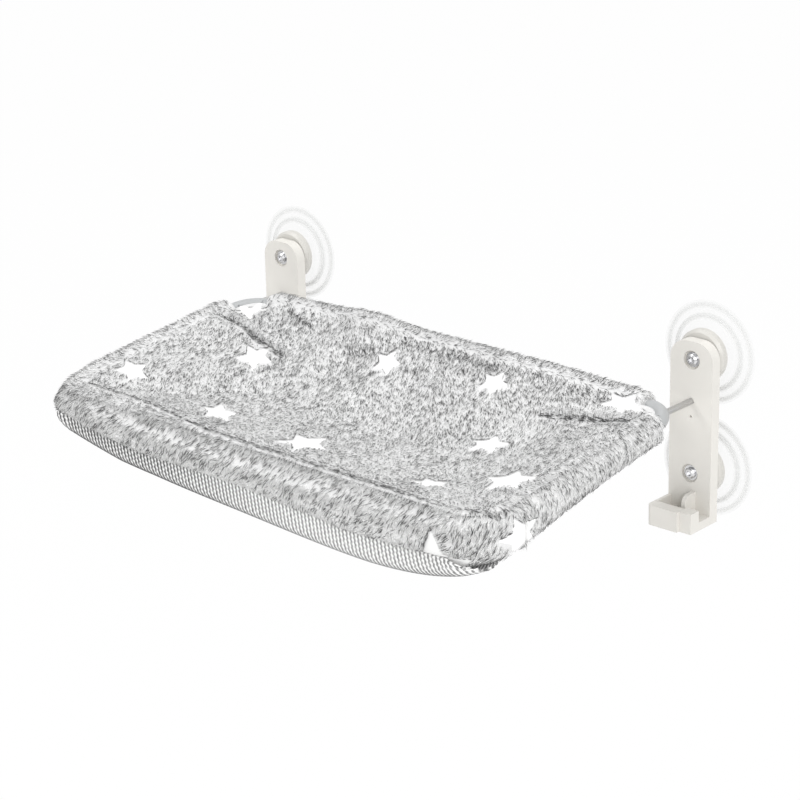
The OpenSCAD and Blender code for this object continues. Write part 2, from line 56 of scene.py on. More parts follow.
def toSling(points):
    # the way back
    p = np.asarray(points, float) * 1000
    c, s = math.cos(sling["tilt"]), math.sin(sling["tilt"])
    y, z = p[..., 1] + sling["out"], p[..., 2] - sling["up"]
    return np.stack([p[..., 0], y * c + z * s, z * c - y * s], axis=-1)


# Mesh helpers
def deselectAll():
    if bpy.context.object and bpy.context.object.mode != "OBJECT":
        bpy.ops.object.mode_set(mode="OBJECT")
    for thing in list(bpy.context.selected_objects):
        thing.select_set(False)


def pickOnly(obj):
    deselectAll()
    obj.select_set(True)
    bpy.context.view_layer.objects.active = obj


def applied(obj, kind, **settings):
    pickOnly(obj)
    modifier = obj.modifiers.new(kind.lower(), kind)
    for name, value in settings.items():
        setattr(modifier, name, value)
    bpy.ops.object.modifier_apply(modifier=modifier.name)


def copyOfNode(nodeName, name):
    # a CAD node's mesh is loose triangles, so a copy is merged first
    obj = bpy.data.objects.new(name, cadNodes[nodeName].data.copy())
    bpy.context.scene.collection.objects.link(obj)
    obj.data.materials.clear()
    pickOnly(obj)
    bpy.ops.object.mode_set(mode="EDIT")
    bpy.ops.mesh.select_all(action="SELECT")
    bpy.ops.mesh.remove_doubles(threshold=0.00002)
    bpy.ops.object.mode_set(mode="OBJECT")
    return obj


def meshFrom(name, points, faces):
    data = bpy.data.meshes.new(name)
    data.from_pydata([tuple(p) for p in points], [], [tuple(f) for f in faces])
    obj = bpy.data.objects.new(name, data)
    bpy.context.scene.collection.objects.link(obj)
    return obj


def places(obj):
    co = np.zeros(len(obj.data.vertices) * 3)
    obj.data.vertices.foreach_get("co", co)
    return co.reshape(-1, 3)


def setPlaces(obj, co):
    obj.data.vertices.foreach_set("co", np.asarray(co, float).ravel())
    obj.data.update()


def faceValues(obj, what, wide=1):
    values = np.zeros(len(obj.data.polygons) * wide)
    obj.data.polygons.foreach_get(what, values)
    return values.reshape(-1, wide) if wide > 1 else values


def addValues(obj, name, values):
    # one number for each point, which a material reads by its name
    layer = obj.data.attributes.new(name, "FLOAT", "POINT")
    layer.data.foreach_set("value", values.astype(np.float32))


def smooth(obj):
    pickOnly(obj)
    bpy.ops.object.shade_smooth_by_angle(angle=math.radians(180))


# Materials: a socket that takes part in sums, and one method that adds any node
class Wire:
    def __init__(self, paint, socket):
        self.paint, self.socket = paint, socket

    def sum(self, how, first, second=0.0):
        return self.paint.add("ShaderNodeMath", {"operation": how}, {0: first, 1: second})

    def __add__(self, other):
        return self.sum("ADD", self, other)

    def __radd__(self, other):
        return self.sum("ADD", other, self)

    def __sub__(self, other):
        return self.sum("SUBTRACT", self, other)

    def __rsub__(self, other):
        return self.sum("SUBTRACT", other, self)

    def __mul__(self, other):
        return self.sum("MULTIPLY", self, other)

    def __rmul__(self, other):
        return self.sum("MULTIPLY", other, self)

    def __truediv__(self, other):
        return self.sum("DIVIDE", self, other)

    def __rtruediv__(self, other):
        return self.sum("DIVIDE", other, self)

    def __abs__(self):
        return self.sum("ABSOLUTE", self)

    def orMore(self, other):
        return self.sum("MAXIMUM", self, other)

    def held(self):
        return self.paint.add("ShaderNodeClamp", {}, {"Value": self})

    def from0to1(self, low, high):
        return self.paint.add("ShaderNodeMapRange", {"interpolation_type": "SMOOTHSTEP"},
                              {"Value": self, "From Min": low, "From Max": high})


class Paint:
    def __init__(self, owner):
        # the owner is a new material or a world
        self.owner = owner
        owner.use_nodes = True
        self.tree = owner.node_tree
        self.tree.nodes.clear()

    def add(self, kind, settings=None, sockets=None, out=0):
        node = self.tree.nodes.new(kind)
        for name, value in (settings or {}).items():
            if name == "stops":
                ramp = node.color_ramp
                while len(ramp.elements) < len(value):
                    ramp.elements.new(0.5)
                for stop, (place, colour) in zip(ramp.elements, value):
                    stop.position, stop.color = place, (*colour, 1)
            else:
                setattr(node, name, value)
        for name, value in (sockets or {}).items():
            if isinstance(value, Wire):
                self.tree.links.new(value.socket, node.inputs[name])
            else:
                node.inputs[name].default_value = value
        return Wire(self, node.outputs[out]) if len(node.outputs) else None

    def place(self):
        return self.add("ShaderNodeTexCoord", out="Object")

    def noise(self, scale, detail=3.0, roughness=0.5, vector=None):
        return self.add("ShaderNodeTexNoise", {}, {"Vector": vector or self.place(), "Scale": scale,
                                                   "Detail": detail, "Roughness": roughness}, out="Fac")

    def read(self, name):
        return self.add("ShaderNodeAttribute", {"attribute_name": name}, out="Fac")

    def vector(self, how, first, second):
        return self.add("ShaderNodeVectorMath", {"operation": how}, {0: first, 1: second}, out="Vector")

    def sight(self, ray):
        return self.add("ShaderNodeLightPath", out=ray)

    def ramp(self, value, stops):
        return self.add("ShaderNodeValToRGB", {"stops": stops}, {"Fac": value}, out="Color")

    def blend(self, share, first, second):
        # 6, 7 and 2 are the colour sockets of a Mix node
        return self.add("ShaderNodeMix", {"data_type": "RGBA"}, {"Factor": share, 6: first, 7: second},
                        out=2)

    def bump(self, height, strength, distance):
        return self.add("ShaderNodeBump", {}, {"Height": height, "Strength": strength,
                                               "Distance": distance}, out="Normal")

    def mixed(self, share, first, second):
        return self.add("ShaderNodeMixShader", {}, {"Fac": share, 1: first, 2: second})

    def finish(self, sockets):
        shader = self.add("ShaderNodeBsdfPrincipled", {}, sockets, out="BSDF")
        self.add("ShaderNodeOutputMaterial", {}, {"Surface": shader})
        return self.owner


def newPaint(name):
    return Paint(bpy.data.materials.new(name))


def dress(obj, material):
    obj.data.materials.clear()
    obj.data.materials.append(material)


print("stage: camera and light")
camera = bpy.data.objects.new("camera", bpy.data.cameras.new("camera"))
bpy.context.scene.collection.objects.link(camera)
camera.data.lens, camera.data.sensor_width, camera.data.sensor_fit = 112.5, 36, "HORIZONTAL"
camera.data.clip_start, camera.data.clip_end = 0.05, 50
# fitted to the brackets, the cups and the bed's corners in the photograph
camera.matrix_world = Matrix(((0.7447, -0.2133, 0.6323, 1.4436), (0.6670, 0.2700, -0.6945, -1.7166),
                              (-0.0226, 0.9389, 0.3433, 0.7726), (0, 0, 0, 1)))
bpy.context.scene.camera = camera
bpy.context.scene.view_settings.view_transform = "Standard"

studio = {"floorDown": -0.62, "floorHalf": 12.0, "floorColour": (0.93, 0.93, 0.925, 1),
          "whiteShare": 0.97, "worldLight": 0.68, "aim": (0, -0.2, 0)}
# each lamp's place, size and power
lamps = {"keyLamp": ((-1.2, -1.5, 1.9), 1.1, 21.0),
         "sideLamp": ((2.3, -1.5, 1.2), 1.6, 38.0),
         "topLamp": ((0.3, 0.6, 2.2), 1.6, 16.0)}

for lampName, (place, size, power) in lamps.items():
    light = bpy.data.lights.new(lampName, "AREA")
    light.shape, light.size, light.energy = "SQUARE", size, power
    lamp = bpy.data.objects.new(lampName, light)
    bpy.context.scene.collection.objects.link(lamp)
    lamp.location = place
    lamp.rotation_euler = (Vector(studio["aim"]) - Vector(place)).to_track_quat("-Z", "Y").to_euler()

# the sky lights the object softly, and is plain white where it is seen, mirrored or looked through to
world = bpy.data.worlds.new("studio")
bpy.context.scene.world = world
sky = Paint(world)
seen = sky.sight("Is Camera Ray").orMore(sky.sight("Is Transmission Ray"))
seen = seen.orMore(sky.sight("Is Glossy Ray"))
plainSky = sky.add("ShaderNodeBackground", {}, {"Color": (1, 1, 1, 1), "Strength": studio["worldLight"]})
whiteSky = sky.add("ShaderNodeBackground", {}, {"Color": (1, 1, 1, 1), "Strength": 1.0})
sky.add("ShaderNodeOutputWorld", {}, {"Surface": sky.mixed(seen, plainSky, whiteSky)})

deselectAll()
bpy.ops.mesh.primitive_plane_add(size=2 * studio["floorHalf"], location=(0, 0, studio["floorDown"]))
floor = bpy.context.object
floor.name = "floor"
ground = newPaint("paleFloor")
plainFloor = ground.add("ShaderNodeBsdfDiffuse", {}, {"Color": studio["floorColour"]})
whiteFloor = ground.add("ShaderNodeEmission", {}, {"Color": (1, 1, 1, 1), "Strength": 1.0})
ground.add("ShaderNodeOutputMaterial", {}, {"Surface": ground.mixed(
    ground.sight("Is Camera Ray") * studio["whiteShare"], plainFloor, whiteFloor)})
dress(floor, ground.owner)


print("stage: finishes")


def mouldedPlastic(name, colour, rough=0.42, grain=0.00002):
    # moulded plastic: faint cloudiness in the colour, fine spark-eroded grain
    p = newPaint(name)
    cloud = p.noise(22, 2).from0to1(0.3, 0.7)
    darker = tuple(c * 0.95 for c in colour)
    grainy = p.noise(2600, 2)
    return p.finish({"Base Color": p.blend(cloud, (*darker, 1), (*colour, 1)),
                     "Roughness": p.noise(60, 3) * 0.12 + (rough - 0.06),
                     "Normal": p.bump(grainy, 0.35, grain), "IOR": 1.46})


def metal(name, colour, rough=0.25, along="Z"):
    # drawn or turned metal: fine streaks along one direction
    p = newPaint(name)
    stretch = {"X": (30, 900, 900), "Y": (900, 30, 900), "Z": (900, 900, 30)}[along]
    streaks = p.noise(1, 3, 0.6, p.add("ShaderNodeMapping", {}, {"Vector": p.place(), "Scale": stretch}))
    return p.finish({"Base Color": (*colour, 1), "Metallic": 1.0,
                     "Roughness": streaks * 0.18 + (rough - 0.09),
                     "Normal": p.bump(streaks, 0.2, 0.00002)})


bracketPlastic = mouldedPlastic("bracketPlastic", (0.73, 0.711, 0.671))
hubPlastic = mouldedPlastic("hubPlastic", (0.61, 0.597, 0.563), 0.36)
elbowPlastic = mouldedPlastic("elbowPlastic", (0.42, 0.43, 0.435), 0.34)
insertBrass = metal("insertBrass", (0.80, 0.60, 0.28))
screwSteel = metal("screwSteel", (0.62, 0.62, 0.63), 0.24, "Y")
prongSteel = metal("prongSteel", (0.55, 0.55, 0.55), 0.28, "Y")
framePaint = mouldedPlastic("framePaint", (0.62, 0.62, 0.62), 0.4)

# rings of the cups: place and half width as shares of the radius, and how milky
vinyl = {"colour": (0.72, 0.725, 0.72, 1), "clear": 0.05,
         "rings": ((0.71, 0.075, 0.36), (0.91, 0.07, 0.3), (0.25, 0.2, 0.3))}


def cupVinyl(name, cup):
    # clear soft vinyl: nearly nothing in the disc, milky where it thickens at the step ring and the lip
    p = newPaint(name)
    corners = np.array([tuple(v) for v in cup.bound_box])
    middle = (corners.min(axis=0) + corners.max(axis=0)) / 2
    radius = (corners.max(axis=0) - corners.min(axis=0))[2] / 2
    flat = p.vector("MULTIPLY", p.vector("SUBTRACT", p.place(), tuple(middle)), (1, 0, 1))
    far = p.add("ShaderNodeVectorMath", {"operation": "LENGTH"}, {0: flat}, out="Value") / radius
    milky = 0.0
    for place, half, share in vinyl["rings"]:
        milky = (1 - abs(far - place).from0to1(half * 0.1, half)) * share + milky
    cloud = p.noise(60, 2) * 0.05
    return p.finish({"Base Color": vinyl["colour"], "Roughness": p.noise(90, 2) * 0.1 + 0.4,
                     "Alpha": (milky + cloud + vinyl["clear"]).held(), "Specular IOR Level": 0.2})


nodeFinishes = {"bracket": bracketPlastic, "cup_hub": hubPlastic, "cup_insert": insertBrass,
                "screw": screwSteel, "washer": screwSteel, "prong": prongSteel,
                "frame_tube": framePaint, "elbow": elbowPlastic}
for nodeName, node in cadNodes.items():
    if nodeName.startswith("suction_cup"):
        dress(node, cupVinyl(nodeName.replace("suction_cup", "cupVinyl"), node))
    for words, finish in nodeFinishes.items():
        if nodeName.startswith(words):
            dress(node, finish)

# root is painted shade deep in the pile, where the fibres shade each other; baseHigh puts the base cloth
# between the fibres partly into that painted shade
plush = {"root": (0.06, 0.06, 0.062), "shade": (0.55, 0.55, 0.552), "tip": (0.90, 0.90, 0.898),
         "star": (0.90, 0.90, 0.895, 1), "baseHigh": 0.42}


def plushFinish(name, furrows):
    # grey plush: painted shade at the fibres' roots and on the base cloth between the fibres, pale at the
    # tip, white inside the stars
    p = newPaint(name)
    tone, tip, star = p.read("pileTone"), p.read("pileTip"), p.read("pileStar")
    fibre = p.noise(1500, 2, 0.6)
    height = (tip * 0.9 + (fibre - 0.5) * 0.25).held()
    grey = p.ramp(height, [(0.0, plush["root"]), (0.25, plush["shade"]), (0.5, plush["tip"])])
    toned = p.add("ShaderNodeHueSaturation", {}, {"Color": grey, "Value": tone + 0.5}, out="Color")
    return p.finish({"Base Color": p.blend(star.from0to1(0.46, 0.54), toned, plush["star"]),
                     "Roughness": 0.92, "Sheen Weight": 0.25, "Sheen Roughness": 0.5,
                     "Normal": p.bump(fibre, furrows, 0.0006)})


def knitFinish(name):
    # grey yarn: painted shade in the furrows, pale on the ribs
    p = newPaint(name)
    yarn = p.noise(900, 2)
    colour = p.ramp((p.read("knitHigh") * 0.9 + yarn * 0.2).held(), [
        (0.08, (0.05, 0.05, 0.051)), (0.42, (0.36, 0.36, 0.362)), (0.8, (0.92, 0.92, 0.915))])
    return p.finish({"Base Color": colour, "Roughness": 0.9, "Normal": p.bump(yarn, 0.4, 0.0004)})


plushBase = plushFinish("plushBase", 0.5)
plushPile = plushFinish("plushPile", 0.25)
knitRib = knitFinish("knitRib")


print("stage: padded cover")
# voxel and caps in metres, the tunnel's radius in millimetres, the rest is for the cloth simulation
cover = {"voxel": 0.004, "pressure": 4.0, "frames": 20, "quality": 5, "capBed": 0.003,
         "capRoll": 0.003, "capBolster": 0.004, "tunnel": 9.0}

# white stars of the plush: centre and two half axes in the sling's plane, in millimetres
stars = [(-233.1, -26.7, 4.2, (18.1, 3.5, -3.5), (-1.9, 19.3, 4.4)),
         (-229.3, -188.8, 2.6, (6.2, 14.9, -2.4), (-16.0, 7.4, 6.0)),
         (-172.7, -83.1, -13.4, (22.6, -5.4, -2.9), (-0.3, 19.5, 2.4)),
         (-36.5, -44.1, -3.1, (17.1, -2.4, -0.8), (-1.9, 16.0, 5.5)),
         (84.6, -34.9, 0.2, (5.9, 12.7, 4.7), (-14.1, 6.5, 2.4)),
         (215.9, -17.9, 7.0, (12.0, 12.2, 5.2), (-19.0, 8.1, 3.1)),
         (-105.7, -199.0, -8.2, (21.0, 5.0, -1.5), (-24.0, 26.0, -7.5)),
         (12.5, -210.0, -4.7, (7.5, 26.0, -8.0), (-26.0, 17.0, -5.5)),
         (136.9, -107.7, -17.9, (17.6, 5.2, 0.9), (0.0, 13.5, 1.4)),
         (219.3, -177.7, -1.1, (31.0, -0.7, 10.0), (-8.0, 23.0, -2.8)),
         (161.2, -212.1, -3.6, (8.5, 16.0, -5.0), (-13.0, 9.0, -3.0)),
         (215.0, -270.0, -38.0, (34.0, 0.0, 3.0), (1.5, 0.0, 37.5)),
         (271.5, -228.6, -11.5, (3.0, 23.0, 2.0), (0.0, -6.0, 18.0))]
bedStars, wallStars = stars[:11], stars[11:]
starForm = {"notch": 0.5, "soft": 8.0, "thick": 13.0, "reach": 1.4}


def starShare(p, marks):
    # over a half inside a star, under it outside, for points of the sling's plane in millimetres
    inside = np.zeros(len(p))
    # a straight edge from the tip, at radius 1, to the notch
    tipX, tipY, inX, inY = math.cos(math.pi / 5), math.sin(math.pi / 5), starForm["notch"], 0.0
    for x, y, z, first, second in marks:
        v = p - np.array([x, y, z])
        a, b = np.array(first), np.array(second)
        n = np.cross(a, b)
        n /= np.linalg.norm(n)
        aa, bb, ab = a @ a, b @ b, a @ b
        va, vb = v @ a, v @ b
        det = aa * bb - ab * ab
        u, w = (va * bb - vb * ab) / det, (vb * aa - va * ab) / det
        turn = np.mod(np.arctan2(w, u) - math.pi / 2, 2 * math.pi / 5)
        fold = np.abs(turn - math.pi / 5)
        r = np.hypot(u, w)
        px, py = r * np.cos(fold), r * np.sin(fold)
        side = (tipX - inX) * (py - inY) - (tipY - inY) * (px - inX)
        edge = side / math.hypot(tipX - inX, tipY - inY) * math.sqrt(aa ** 0.5 * bb ** 0.5)
        near = (np.abs(v @ n) < starForm["thick"]) & (r < starForm["reach"])
        inside = np.maximum(inside, np.clip(0.5 + edge / starForm["soft"], 0, 1) * near)
    return inside


def waves(p, size, seed):
    # smooth pattern from about -1 to 1 over the sling, for combing and cloudiness
    rng = np.random.default_rng(seed)
    total, count, highest = np.zeros(len(p)), 5, 2.6
    for _ in range(count):
        way = rng.normal(size=3)
        way /= np.linalg.norm(way)
        total += np.sin(p @ way * (2 * math.pi / (size * rng.uniform(0.7, 1.5))) + rng.uniform(0, 6.3))
    return total / highest


def puffed(obj, cap, keep):
    # swells under a little air pressure, without gravity; no point moves further than the cap
    before = places(obj)
    pickOnly(obj)
    cloth = obj.modifiers.new("air", "CLOTH")
    cloth.settings.use_pressure = True
    cloth.settings.uniform_pressure_force = cover["pressure"]
    cloth.settings.effector_weights.gravity = 0
    cloth.settings.quality = cover["quality"]
    cloth.collision_settings.use_collision = False
    cloth.point_cache.frame_start, cloth.point_cache.frame_end = 1, cover["frames"]
    for step in range(1, cover["frames"] + 1):
        bpy.context.scene.frame_set(step)
    bpy.ops.object.modifier_apply(modifier=cloth.name)
    bpy.context.scene.frame_set(1)
    moved = places(obj) - before
    far = np.linalg.norm(moved, axis=1)
    moved *= np.minimum(1, cap / np.maximum(far, 1e-9))[:, None] * keep(before)[:, None]
    setPlaces(obj, before + moved)


def fromTube(p):
    # distance from the frame tubes' centre line, level (positive outwards) and in space
    outX, outY = sling["halfWide"], sling["deep"] / 2
    qx = np.abs(p[:, 0]) - outX + sling["corner"]
    qy = np.abs(p[:, 1] + outY) - outY + sling["corner"]
    edge = np.hypot(np.maximum(qx, 0), np.maximum(qy, 0)) + np.minimum(np.maximum(qx, qy), 0)
    edge = edge - sling["corner"]
    return edge, np.hypot(edge, p[:, 2])


def marked(obj, marks):
    # the base cloth's own tone, height and star marks
    p = toSling(places(obj))
    addValues(obj, "pileTone", 0.5 + 0.05 * waves(p, 90, 5))
    # its height puts the base cloth partly into the plush's painted root shade
    addValues(obj, "pileTip", np.full(len(p), plush["baseHigh"]))
    addValues(obj, "pileStar", starShare(p, marks))


def softPiece(name, nodeNames, cap, keep):
    obj = copyOfNode(nodeNames[0], name)
    applied(obj, "REMESH", mode="VOXEL", voxel_size=cover["voxel"], adaptivity=0)
    setPlaces(obj, toRoom(settled(toSling(places(obj)))))
    puffed(obj, cap, keep)
    applied(obj, "SUBSURF", levels=1, render_levels=1)
    marked(obj, wallStars)
    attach(obj, "perch")
    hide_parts(*nodeNames)
    dress(obj, plushBase)
    smooth(obj)
    print("  ", name, len(obj.data.vertices), "points")
    return obj


def edgePlace(u, d):
    # a place on the frame's outline, u mm from the middle of the front, set in by d,
    # and how far it faces the front
    corner, straight = sling["corner"], sling["straight"]
    side, a = np.sign(u) + (u == 0), np.abs(u)
    r = np.maximum(corner - d, 2.0)
    cx, cy = sling["halfWide"] - d - r, sling["deep"] / 2 - d - r
    phi = np.clip((a - straight) / corner, 0, math.pi / 2)
    x = cx * np.clip(a / straight, 0, 1) + r * np.sin(phi)
    y = -cy - r * np.cos(phi) + 2 * cy * np.clip((a - straight - bend) / flank, 0, 1)
    back = np.clip((a - straight - bend - flank) / corner, 0, math.pi / 2)
    x, y = x - r * (1 - np.cos(back)), y + r * np.sin(back)
    x = x - np.clip((a - straight - 2 * bend - flank) / straight, 0, 1) * cx
    return side * x, y - sling["deep"] / 2, np.cos(phi) ** 2


# in millimetres; round is a power, and heavier the share by which the front hangs lower at the right
wall = {"top": 0.2, "side": 2.0, "slope": 18.0, "front": 24.0, "round": 3.5, "heavier": 0.4}


def hangs(q, v, f):
    # q is -1 at the left and 1 at the right, v 0 at the back and 1 in front, f how far it faces the front
    front = wall["front"] * f * (1 - np.abs(q) ** wall["round"]) * (1 + wall["heavier"] * q)
    return wall["top"] + (wall["side"] + wall["slope"] * (q + 1) / 2) * v * v + front


def wallDrop(u):
    # how far the cover's wall hangs below the tubes
    x, y, f = edgePlace(u, 0 * u)
    return hangs(x / sling["halfWide"], -y / sling["deep"], f)


def footAt(f):
    # radius of the wall's round foot, smaller where it faces the front
    return sling["roll"] + (sling["foot"] - sling["roll"]) * f


def gridFaces(rows, columns, closed=False):
    # four points a face; closed joins the last column to the first
    i, j = np.meshgrid(np.arange(rows - 1), np.arange(columns - (0 if closed else 1)), indexing="ij")
    k = (j + 1) % columns
    return np.stack([i * columns + j, i * columns + k, (i + 1) * columns + k, (i + 1) * columns + j],
                    axis=-1).reshape(-1, 4)


def ease(x, low, high):
    # 0 up to low, 1 from high on, and smooth between them
    t = np.clip((x - low) / (high - low), 0, 1)
    return t * t * (3 - 2 * t)


def hump(x, at, wide):
    return np.exp(-((x - at) / wide) ** 2)


# the foot and the hem hang lower by the second row's amounts at the first row's places
lie = {"foot": ((-258, -212, -167, -123, -18, 74, 135, 209, 258), (6, 8, 9.5, 7.5, 5.5, 4.5, 4, 2, 0)),
       "hem": ((-258, -212, -167, -123, -92, -18, 74, 110, 135, 165, 200, 225, 243, 258),
               (0, 2, 5.5, 4.5, 1, -4, -3, 1, 1, 0, 1.5, 4, 12, 12)),
       "nose": 6.0, "left": 1.8, "back": 5.0, "hollow": 2.5, "corner": 25.0}
# lengths in millimetres; crest and the laps are degrees round the tubes, ridge and hollow are
# places and widths; rows are on the crown, over the crest, behind the roll and below
bed = {"rim": 5.75, "rimHigh": 12.33, "sag": 28.7, "middleSag": 5.0, "wrap": 13.6, "skin": 1.3,
       "crest": 25.0, "lap": -20.0, "bareLap": 24.0, "rows": (50, 9, 12, 16), "middle": 126.0,
       "turn": 17.8, "under": 20.0, "lift": 0.6, "shoulder": 4.5, "ridge": (14, 8.5), "dip": 8.5,
       "hollow": (6, 12), "ripple": 0.5}
# lengths in millimetres, angles in degrees and the number of ribs; level and stitches are
# values of w, the row's place on the sheet, and the others are shares
knit = {"gap": 0.8, "face": 2.1, "ribs": 347, "ribHigh": 0.7, "stitch": 4.2, "wall": 1.5, "lap": 0.32,
        "belly": -37.5, "inAngle": 130.0, "sideAngle": 115.0, "level": 0.35, "corner": 4.8,
        "slant": 4.5, "slantRight": 9.0, "stitches": (0.4, 0.62), "furrow": (0.34, 0.9),
        "over": 0.65, "pit": 0.3, "left": 0.3, "base": 0.4}
knitIn = (sling["roll"] + knit["gap"]) * math.sin(math.radians(knit["inAngle"] - 90))

# folds drawn in from the corners: points in the sling's plane, height, and width in millimetres
folds = [([(-256, -50), (-220, -45), (-186, -54), (-144, -65), (-120, -74)], 3.2, 4.5),
         ([(262, -42), (215, -35), (178, -43), (151, -49), (120, -56)], 3.0, 4.5),
         ([(-60, -30), (-95, -38), (-120, -33)], 2.0, 4.0)]


def nearLine(x, y, points):
    # distance to a line drawn in the sling's plane, the offset to its window side,
    # and the share of its length
    line = np.array(points, float)
    best = np.full(x.shape, 1e9)
    offset, share = np.zeros_like(x), np.zeros_like(x)
    lengths = np.concatenate([[0], np.cumsum(np.linalg.norm(np.diff(line, axis=0), axis=1))])
    for k in range(len(line) - 1):
        a, v = line[k], line[k + 1] - line[k]
        t = np.clip(((x - a[0]) * v[0] + (y - a[1]) * v[1]) / (v @ v), 0, 1)
        dx, dy = x - a[0] - t * v[0], y - a[1] - t * v[1]
        far = np.hypot(dx, dy)
        near = far < best
        best = np.where(near, far, best)
        offset = np.where(near, dy, offset)
        share = np.where(near, (lengths[k] + t * (lengths[k + 1] - lengths[k])) / lengths[-1], share)
    return best, offset, share


def foldHeight(x, y):
    # a soft ridge with a valley on its room side, fading to both ends
    total = np.zeros_like(x)
    for points, high, wide in folds:
        best, offset, share = nearLine(x, y, points)
        fade = ease(share, 0, 0.12) * (1 - ease(share, 0.55, 1))
        valley = hump(offset, -1.9 * wide, 1.1 * wide) * hump(best, 0, 3.2 * wide)
        total += fade * high * (hump(best, 0, wide) - 0.75 * valley)
    return total


def belowFront(p):
    # 1 along the front, 0 from the middle of each front corner on
    return (1 - ease(np.abs(p[..., 0]), 236, 256)) * (1 - ease(p[..., 1], -236, -216))


def settled(p):
    # the cover's own uneven lie: fuller foot at the left front, lower nose, a hump on the back edge
    x, y, z = p[..., 0], p[..., 1], p[..., 2]
    foot = np.interp(x, *lie["foot"]) * ease(-z, -2, 26) * belowFront(p)
    nose = lie["nose"] * hump(x, -266, 30) * hump(y, -262, 36) * ease(z, -18, 6)
    left = lie["left"] * ease(-x, 236, 254) * ease(z, 0, 10)
    back = lie["back"] * hump(x, -95, 42) - lie["hollow"] * hump(x, 200, 45)
    back = back * ease(y, -42, -8) * ease(z, -2, 9)
    return np.stack([x, y, z - foot - nose - left + back], axis=-1)


def cornerShare(u):
    # 1 at the back corners, where the elbows lie bare
    off = np.abs(np.abs(u) - sling["straight"] - 1.5 * bend - flank)
    return 1 - ease(off, bend * 0.54, bend * 0.8)


def bedTop(u, d):
    x, y, f = edgePlace(u, d)
    share, q = (d - bed["rim"]) / (sling["deep"] / 2 - bed["rim"]), x / sling["halfWide"]
    z = bed["rimHigh"] - bed["sag"] * (1 - (1 - share) ** 2)
    z = z - bed["middleSag"] * (1 - q * q) * share * share
    shoulder = bed["shoulder"] * hump(d, *bed["ridge"]) * f * (1 - ease(x, -120, 10))
    corner = bed["dip"] * cornerShare(u) * hump(d, *bed["hollow"])
    level = np.stack([x, y, 0 * x], axis=-1).reshape(-1, 3)
    ripples = bed["ripple"] * waves(level, 46, 8).reshape(x.shape)
    return x, y, z + shoulder - corner + ease(d, 6, 22) * (ripples + foldHeight(x, y))


def knitRim(u, f):
    # height of the knit at the inner side of the foot
    return -wallDrop(u) - (footAt(f) + knit["gap"]) * math.sin(math.radians(knit["inAngle"]))


def bedUnder(u, d):
    # the knit's upper face, on which the filling lies
    x, y, f = edgePlace(u, d)
    rim = knitRim(u, f)
    share = np.clip((d - knitIn) / (sling["deep"] / 2 - knitIn), 0, 1)
    return x, y, rim + (knit["belly"] - rim) * (1 - (1 - share) ** 2) + bed["lift"]


def bedMesh():
    # a closed stuffed pad: crown, a lap over the crest of the rolls, and the filling's underside
    straight = sling["straight"]
    front, arc = straight * np.linspace(0, 1, 92), bend * np.linspace(0, 1, 15)
    quarter = np.concatenate([front[:-1], straight + arc[:-1],
                              straight + bend + flank * np.linspace(0, 1, 76)[:-1],
                              straight + bend + flank + arc[:-1],
                              straight + 2 * bend + flank + front])
    u = np.concatenate([quarter, -quarter[-2:0:-1]])
    bare = cornerShare(u)
    crest, end = bed["crest"], bed["lap"] + (bed["bareLap"] - bed["lap"]) * bare
    onCrown, overCrest, behindRoll, below = bed["rows"]
    rows = []
    for d in np.linspace(bed["middle"], bed["rim"], onCrown):
        rows.append(np.stack(bedTop(u, d + 0 * u), axis=-1))
    for t in np.linspace(0.12, 1, overCrest):
        a = np.radians(crest + (end - crest) * t)
        thick = np.minimum(1, (crest - np.degrees(a)) / 10) * ease(1.0 - t, -0.25, 0.15)
        r = bed["wrap"] + bed["skin"] * thick
        x, y, _ = edgePlace(u, r * np.sin(a))
        rows.append(np.stack([x, y, r * np.cos(a) - bed["dip"] * bare], axis=-1))
    for t in np.linspace(0, 1, behindRoll):
        a = np.radians(end + (90 - end) * t)
        r = bed["wrap"] - 0.1
        x, y, _ = edgePlace(u, r * np.sin(a))
        rows.append(np.stack([x, y, r * np.cos(a) - bed["dip"] * bare * (1 - t) ** 2], axis=-1))
    x, y, _ = edgePlace(u, bed["turn"] + 0 * u)
    low = bedUnder(u, bed["under"] + 0 * u)[2]
    rows.append(np.stack([x, y, (low - 3) / 2], axis=-1))
    for d in np.linspace(bed["under"], bed["middle"], below):
        rows.append(np.stack(bedUnder(u, d + 0 * u), axis=-1))
    first, last = rows[0].copy(), rows[-1].copy()
    first[:, 1] = last[:, 1] = -sling["deep"] / 2
    rows = [first] + rows + [last]
    # points run from the crown outwards, so faces are turned to look out
    return settled(np.array(rows)), gridFaces(len(rows), len(u), closed=True)[:, ::-1]


def crownOnly(co):
    # only the crown swells; the rim and the underside stay on their neighbours
    p = toSling(co)
    return ease(-fromTube(p)[0], 8, 30) * ease(p[:, 2], -26, -20)


def hemHeight(p):
    # the knit band's upper edge along the front; at the corners the fur goes on down
    edge = -hangs(np.clip(p[:, 0] / sling["halfWide"], -1, 1), 1, 1) * (1 - knit["lap"])
    return edge - np.interp(p[:, 0], *lie["hem"]) - lie["corner"] * ease(np.abs(p[:, 0]), 236, 250)


def outerOnly(co):
    # the rolls swell on their outer side: not in the tunnel, under the bed's lap or behind the knit band
    p = toSling(co)
    edge, far = fromTube(p)
    aboveHem = np.where(p[:, 1] < -232, ease(p[:, 2] - hemHeight(p), -3, 6), 1)
    return np.clip((far - cover["tunnel"]) / 3, 0, 1) * ease(edge, 4, 11) * aboveHem


